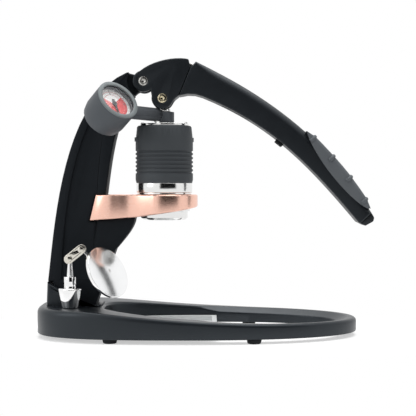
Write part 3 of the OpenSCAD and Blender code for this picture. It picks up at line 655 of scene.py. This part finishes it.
rungs, g, size = rule("ribs along a path", {
    "Count": (WHOLE, 4), "Radius": (NUMBER, 0.002), "Width": (NUMBER, 0.02), "Wrap": (NUMBER, 0.006)})
path = g.node("GeometryNodeMeshToCurve", None, {"Mesh": size["Geometry"]})
stops = g.node("GeometryNodeResampleCurve", None, {"Curve": path, "Count": size["Count"]})
lean = g.node("FunctionNodeAlignRotationToVector", {"axis": "X", "pivot_axis": "Y"},
              {"Vector": g.node("GeometryNodeInputTangent")})
line = g.node("GeometryNodeCurvePrimitiveLine", None, {"Start": (0, -1, 0), "End": (0, 1, 0)})
line = g.node("GeometryNodeResampleCurve", None, {"Curve": line, "Count": 25})
swing = (g.node("GeometryNodeSplineParameter") - 0.5) * math.pi
across = g.math("SIGN", swing) * g.math("POWER", g.math("ABSOLUTE", g.math("SINE", swing)), 0.5)
down = g.math("POWER", g.math("COSINE", swing), 0.5) - 1
bent = g.node("ShaderNodeCombineXYZ", None, {"Y": across * size["Width"] * 0.5, "Z": down * size["Wrap"]})
bow = g.node("GeometryNodeSetPosition", None, {"Geometry": line, "Position": bent})
thin = g.math("POWER", g.math("COSINE", swing), 0.3) + 0.02
ring = g.node("GeometryNodeCurvePrimitiveCircle", None, {"Resolution": 12, "Radius": size["Radius"]})
bow = g.node("GeometryNodeSetCurveRadius", None, {"Curve": bow, "Radius": thin})
rung = g.node("GeometryNodeCurveToMesh", None, {"Curve": bow, "Profile Curve": ring, "Fill Caps": True})
ribs = g.node("GeometryNodeInstanceOnPoints", None, {"Points": stops, "Instance": rung, "Rotation": lean})
close(rungs, ribs, "grey_rubber")
print("rules:", fan.name, "and", rungs.name)

# %% [markdown]
# ## Grip
#
# A soft grey pad lies on the last third of the arm, thick enough to feel, with a blunt nose at both ends
# and four ribs that wrap over its crown and fade out on its sides. The pad is one more rounded slab. For
# the ribs, the tree walks along the crest, stops four times, and lays the same bent bar across the pad at
# each stop.

# %% Pad of the grip
CREST = [(94.9, 193.6), (101.9, 187.1), (108.7, 180.5), (115.3, 173.6), (121.8, 166.6), (128.1, 159.4),
         (134.1, 152.1), (139.8, 144.4), (145.3, 136.6), (150.5, 128.6), (155.4, 120.4)]
crest = []
for i, here in enumerate(CREST):
    along = (Vector(CREST[min(i + 1, 10)]) - Vector(CREST[max(i - 1, 0)])).normalized()
    crest.append(Vector(here) + 2.6 * ease(min(i, 10 - i), -0.6, 1) * Vector((-along.y, along.x)))
keel = [bezier([CREST[-1], (145.4, 120.4), (106.9, 159.6), CREST[0]], i / 14) for i in range(1, 14)]
pad = [*crest, *keel]
pad = pad if sum(a.x * b.y - b.x * a.y for a, b in zip(pad, pad[1:] + pad[:1])) > 0 else pad[::-1]


def pad_edge(p, n):
    """Full on the crown, thin at the keel, and never more than the narrow ends of the pad can hold."""
    room = min((p - Vector(CREST[0])).length, (p - Vector(CREST[-1])).length)
    return (1.0 + 4.6 * ease(n.y + n.x, -0.3, 0.4)) * (0.22 + 0.78 * ease(room, 2, 24))


grip = rounded_slab(pad, -15.4, 15.4, pad_edge, 7)
print("pad of", len(grip.faces), "faces")

# %% Ribs over the grip
path = bpy.data.meshes.new("crest")
path.from_pydata([(p.x * MM, 0, p.y * MM) for p in crest[1:10]], [(i, i + 1) for i in range(8)], [])
grip.from_mesh(run(rungs, {"Count": 4, "Radius": 1.9 * MM, "Width": 30.4 * MM, "Wrap": 6.5 * MM}, path))
place("lever_grip_look", to_mesh(grip, "lever_grip_look"), "grey_rubber", ["lever_grip"])
print("grip with ribs")

# %% [markdown]
# ## Gauge
#
# The dial lies deep in a plain grey housing, under a clear lens. Its paint is one white field with a red
# sector, a pale pink sector beside it that is a painted glare of the lens, and two thin rings. The sectors
# are worked out from the angle and the distance of a point on the dial, so they follow the dial in every
# pose. Ticks and numbers are thin raised pieces.

# %% Place of the dial
GAUGE = Vector((-88.5, -44.0, 212.107)) * MM
FACE = Vector((0.56, -0.61, 0.56)).normalized()
TO_GAUGE = Matrix.Rotation(math.atan2(FACE.y, FACE.x), 4, "Z") @ Matrix.Rotation(math.acos(FACE.z), 4, "Y")
on_dial = [TO_GAUGE.transposed() @ (v.co - GAUGE) for v in frame["nodes"]["gauge_dial"].data.vertices]
DIAL_R, DIAL_UP = max(p.xy.length for p in on_dial), max(p.z for p in on_dial)
print("dial radius", round(DIAL_R / MM, 1), "mm, face", round(DIAL_UP / MM, 1), "mm in front of the middle")


# %% Dial paint
def dial_paint(s):
    place = s.node("ShaderNodeTexCoord", out=3)
    flat = s.node("ShaderNodeVectorMath", {"operation": "SUBTRACT"}, {0: place, 1: tuple(GAUGE)})
    back = TO_GAUGE.transposed().to_euler()
    local = s.node("ShaderNodeMapping", None, {"Vector": flat, "Rotation": tuple(back)})
    parts = local.node("ShaderNodeSeparateXYZ", None, {0: local})
    x, y = Shade(s.tree, parts.socket.node.outputs[0]), Shade(s.tree, parts.socket.node.outputs[1])
    far = s.math("SQRT", x * x + y * y) / DIAL_R
    turn = s.math("ARCTAN2", y, 0 - x)
    red = s.math("MINIMUM", (turn > 0.9) + (turn < -2.2), 1.0) * (far < 0.80)
    # The pale pink sector beside the red one is a painted glare of the lens on the dial, not part of its
    # print.
    glare_sector = (turn < -1.0) * (far < 0.80)
    rings = (far > 0.80) * (far < 0.83) + (far > 0.62) * (far < 0.645) * (turn < 0.9)
    white = s.noise(6 * MM).mix((0.80, 0.79, 0.78), (0.86, 0.85, 0.84))
    with_glare = glare_sector.mix(white, (0.76, 0.17, 0.17))
    lined = s.math("MINIMUM", rings, 1.0).mix(with_glare, (0.50, 0.12, 0.13))
    return ({"Base Color": red.mix(lined, (0.62, 0.014, 0.018)), "Roughness": 0.42 + 0.1 * s.noise(3 * MM)},
            {"Base Color": (0.85, 0.84, 0.83), "Specular IOR Level": 0.4}, None)


finish("dial_face", dial_paint)
print("dial painted")

# %% Ticks and numbers
SWEEP = math.radians(270)
marks = bmesh.new()
for count, length, width in ((10, 2.6, 0.5), (46, 1.3, 0.22)):
    part = run(fan, {"Count": count, "Start": 0.0, "Step": SWEEP / (count - 1) * -1, "Radius": DIAL_R * 0.9,
                     "Length": length * MM, "Width": width * MM, "Height": 0.12 * MM})
    marks.from_mesh(part)
for i in range(0, 10, 3):
    turn = -SWEEP * i / 9
    words = bpy.data.curves.new("number", "FONT")
    words.body, words.size, words.extrude = str(i), 3.4 * MM, 0.05 * MM
    words.align_x, words.align_y = "CENTER", "CENTER"
    carrier = bpy.data.objects.new("number", words)
    bpy.context.scene.collection.objects.link(carrier)
    mesh = bpy.data.meshes.new_from_object(carrier.evaluated_get(bpy.context.evaluated_depsgraph_get()))
    bpy.data.objects.remove(carrier)
    spot = Vector((math.cos(turn), math.sin(turn), 0)) * DIAL_R * 0.70
    mesh.transform(Matrix.Translation(spot) @ Matrix.Rotation(math.pi / 2, 4, "Z"))
    marks.from_mesh(mesh)
bmesh.ops.recalc_face_normals(marks, faces=marks.faces)
marks.transform(Matrix.Translation(GAUGE) @ TO_GAUGE @ Matrix.Translation((0, 0, DIAL_UP + 0.05 * MM)))
dial_marks = bpy.data.meshes.new("dial_marks")
marks.to_mesh(dial_marks)
marks.free()
place("gauge_marks", dial_marks, "needle_paint", [], "stem")
print(len(dial_marks.polygons), "faces of ticks and numbers")

# %% [markdown]
# ## The other pieces
#
# All that is left keeps the shape of its solid, with its edges rounded. The post and the lever's head are
# cast, with the widest edges. The rest is turned, pressed or moulded.

# %% Softened pieces of the stand and the lever
made = [
    softened("post", "black_post_painted_shade", 1.3 * MM, 3, clamp=False),
    softened("lever_head", "black_cast", 1.3 * MM, 4, clamp=False),
    softened("lever_tip", "black_plastic", 0.8 * MM, 2),
    softened("lever_bumper", "black_rubber", 0.6 * MM, 2),
    softened("lever_underplate", "black_plastic", 0.2 * MM, 1),
    softened("lever_tenon", "zinc_steel", 0.5 * MM, 2),
    softened("drip_tray", "tray_steel", 0.35 * MM, 2),
    softened("base_feet", "black_rubber", 0.6 * MM, 2),
]
print({o.name: len(o.data.polygons) for o in made})

# %% Finishes for the remaining solids
turned = {
    "cylinder_sleeve": ("grey_silicone", 0.3), "brew_cylinder": ("polished_steel", 0.3),
    "cylinder_cap": ("polished_steel", 0.3), "portafilter_cup": ("polished_steel", 0.3),
    "filter_basket": ("perforated_steel", 0), "dispersion_screen": ("perforated_steel", 0),
    "cylinder_gasket": ("black_rubber", 0), "piston": ("black_plastic", 0.3),
    "piston_seal": ("red_rubber", 0), "piston_stem": ("polished_steel", 0.2),
    "gauge_collar": ("grey_plastic", 0.5), "gauge_neck": ("grey_plastic", 0),
    "gauge_housing": ("grey_plastic", 0.3), "gauge_bezel": ("bezel_grey", 0.4),
    "gauge_dial": ("dial_face", 0), "gauge_movement": ("bronze", 0), "gauge_needle": ("needle_paint", 0),
    "gauge_lens": ("clear_lens", 0), "pivot_bolt": ("zinc_steel", 0.3), "pivot_nut": ("zinc_steel", 0.3),
    "roller_bolt": ("bolt_gold", 0.3), "roller_nut": ("bolt_gold", 0.3),
    "press_roller": ("polished_steel", 0.3), "post_screws": ("zinc_steel", 0.2), "post_bush": ("bronze", 0),
    "mirror_foot": ("chrome", 0.4), "mirror_sleeve": ("chrome", 0.3), "mirror_post": ("chrome", 0.2),
    "mirror_link": ("nickel", 0.3), "mirror_link_screws": ("nickel", 0.3), "mirror_arm": ("chrome", 0),
    "mirror_back": ("chrome", 0.3), "mirror_glass": ("mirror_silver", 0),
}
for name, (material, radius) in turned.items():
    softened(name, material, radius * MM, 2, 40, 40)
bpy.data.objects["gauge_lens_look"].visible_shadow = False
print("dressed", len(turned), "turned pieces")

# %% [markdown]
# ## Floor and light
#
# The press stands on white paper in a white room. Near the press the paper is a real matt surface, so the
# contact shadow stays; further off it turns into plain white for the rays that reach the eye, directly or
# off metal and glass. One large soft lamp hangs overhead and one stands at the left. Behind the camera
# hangs a dark cloth that only reflections see. It keeps the black paint black and draws the dark streaks
# into steel and chrome.

# %% Paper floor
WHITE_FROM, WHITE_AT, GLOW = 0.07, 0.15, 0.52
floor_mesh = bpy.data.meshes.new("floor")
floor_mesh.from_pydata([(-9, -9, 0), (9, -9, 0), (9, 9, 0), (-9, 9, 0)], [], [(0, 1, 2, 3)])
floor = bpy.data.objects.new("floor", floor_mesh)
bpy.context.scene.collection.objects.link(floor)
paper = bpy.data.materials.new("paper")
paper.use_nodes = True
sheet = Shade(paper.node_tree)
skin = paper.node_tree.nodes["Principled BSDF"]
skin.inputs["Base Color"].default_value = (0.86, 0.86, 0.86, 1)
skin.inputs["Roughness"].default_value = 0.9
skin.inputs["Specular IOR Level"].default_value = 0.1


def seen_rays(s):
    """1 for rays from the eye, also by way of a mirror or a lens, and 0 for light in the room."""
    path = [s.node("ShaderNodeLightPath", out=i) for i in (0, 3, 6)]
    return s.math("MAXIMUM", path[0], s.math("MAXIMUM", path[1], path[2]))


spot = sheet.node("ShaderNodeSeparateXYZ", None, {0: sheet.node("ShaderNodeTexCoord", out=3)})
across, along = (Shade(paper.node_tree, spot.socket.node.outputs[i]) for i in (0, 1))
off = sheet.math("SQRT", across * across * 0.2 + along * along)
far = sheet.node("ShaderNodeMapRange", {"interpolation_type": "SMOOTHSTEP"},
                 {0: off, 1: WHITE_FROM, 2: WHITE_AT})
skin.inputs["Emission Color"].default_value = (1, 1, 1, 1)
paper.node_tree.links.new((seen_rays(sheet) * GLOW).socket, skin.inputs["Emission Strength"])
plain = sheet.node("ShaderNodeEmission", None, {"Color": (1.0, 1.0, 1.0), "Strength": 1.0})
near = Shade(paper.node_tree, skin.outputs[0])
blend = sheet.node("ShaderNodeMixShader", None, {0: far * seen_rays(sheet), 1: near, 2: plain})
paper.node_tree.links.new(blend.socket, paper.node_tree.nodes["Material Output"].inputs[0])
floor.data.materials.append(paper)
print("floor turns plain white away from the base")

# %% White room
ROOM_LIGHT = 0.42
room = bpy.data.worlds.new("room")
bpy.context.scene.world = room
room.use_nodes = True
air = Shade(room.node_tree)
backdrop = room.node_tree.nodes["Background"]
backdrop.inputs["Color"].default_value = (1, 1, 1, 1)
room.node_tree.links.new((ROOM_LIGHT + (1 - ROOM_LIGHT) * seen_rays(air)).socket, backdrop.inputs["Strength"])
print("room lit at", ROOM_LIGHT)


# %% Dark cloth and lamps
def cloth(name, low, high, far):
    """A dark upright cloth in front of the press, seen by reflections only."""
    mesh = bpy.data.meshes.new(name)
    corners = [(low[0], low[1]), (high[0], low[1]), (high[0], high[1]), (low[0], high[1])]
    mesh.from_pydata([(x, far, z) for x, z in corners], [], [(0, 1, 2, 3)])
    made = bpy.data.objects.new(name, mesh)
    bpy.context.scene.collection.objects.link(made)
    made.visible_camera = made.visible_diffuse = made.visible_shadow = made.visible_transmission = False
    black = bpy.data.materials.new(name)
    black.use_nodes = True
    weave = black.node_tree.nodes["Principled BSDF"].inputs
    weave["Base Color"].default_value = (0.012, 0.012, 0.013, 1)
    weave["Specular IOR Level"].default_value = 0
    mesh.materials.append(black)
    return made


cloth("dark_cloth", (-0.42, 0.02), (1.6, 1.3), -1.35)


def lamp(name, place, aim, size, watts):
    light = bpy.data.objects.new(name, bpy.data.lights.new(name, "AREA"))
    light.data.shape, light.data.size, light.data.size_y = "RECTANGLE", size[0], size[1]
    light.data.energy = watts
    light.location = place
    light.rotation_euler = (Vector(aim) - Vector(place)).to_track_quat("-Z", "Y").to_euler()
    bpy.context.scene.collection.objects.link(light)
    return light


lamp("overhead", (0.1, 0.2, 1.4), (0, 0, 0.1), (1.4, 1.2), 14)
lamp("left", (-1.5, -0.9, 0.8), (0, 0, 0.15), (0.7, 1.0), 5)
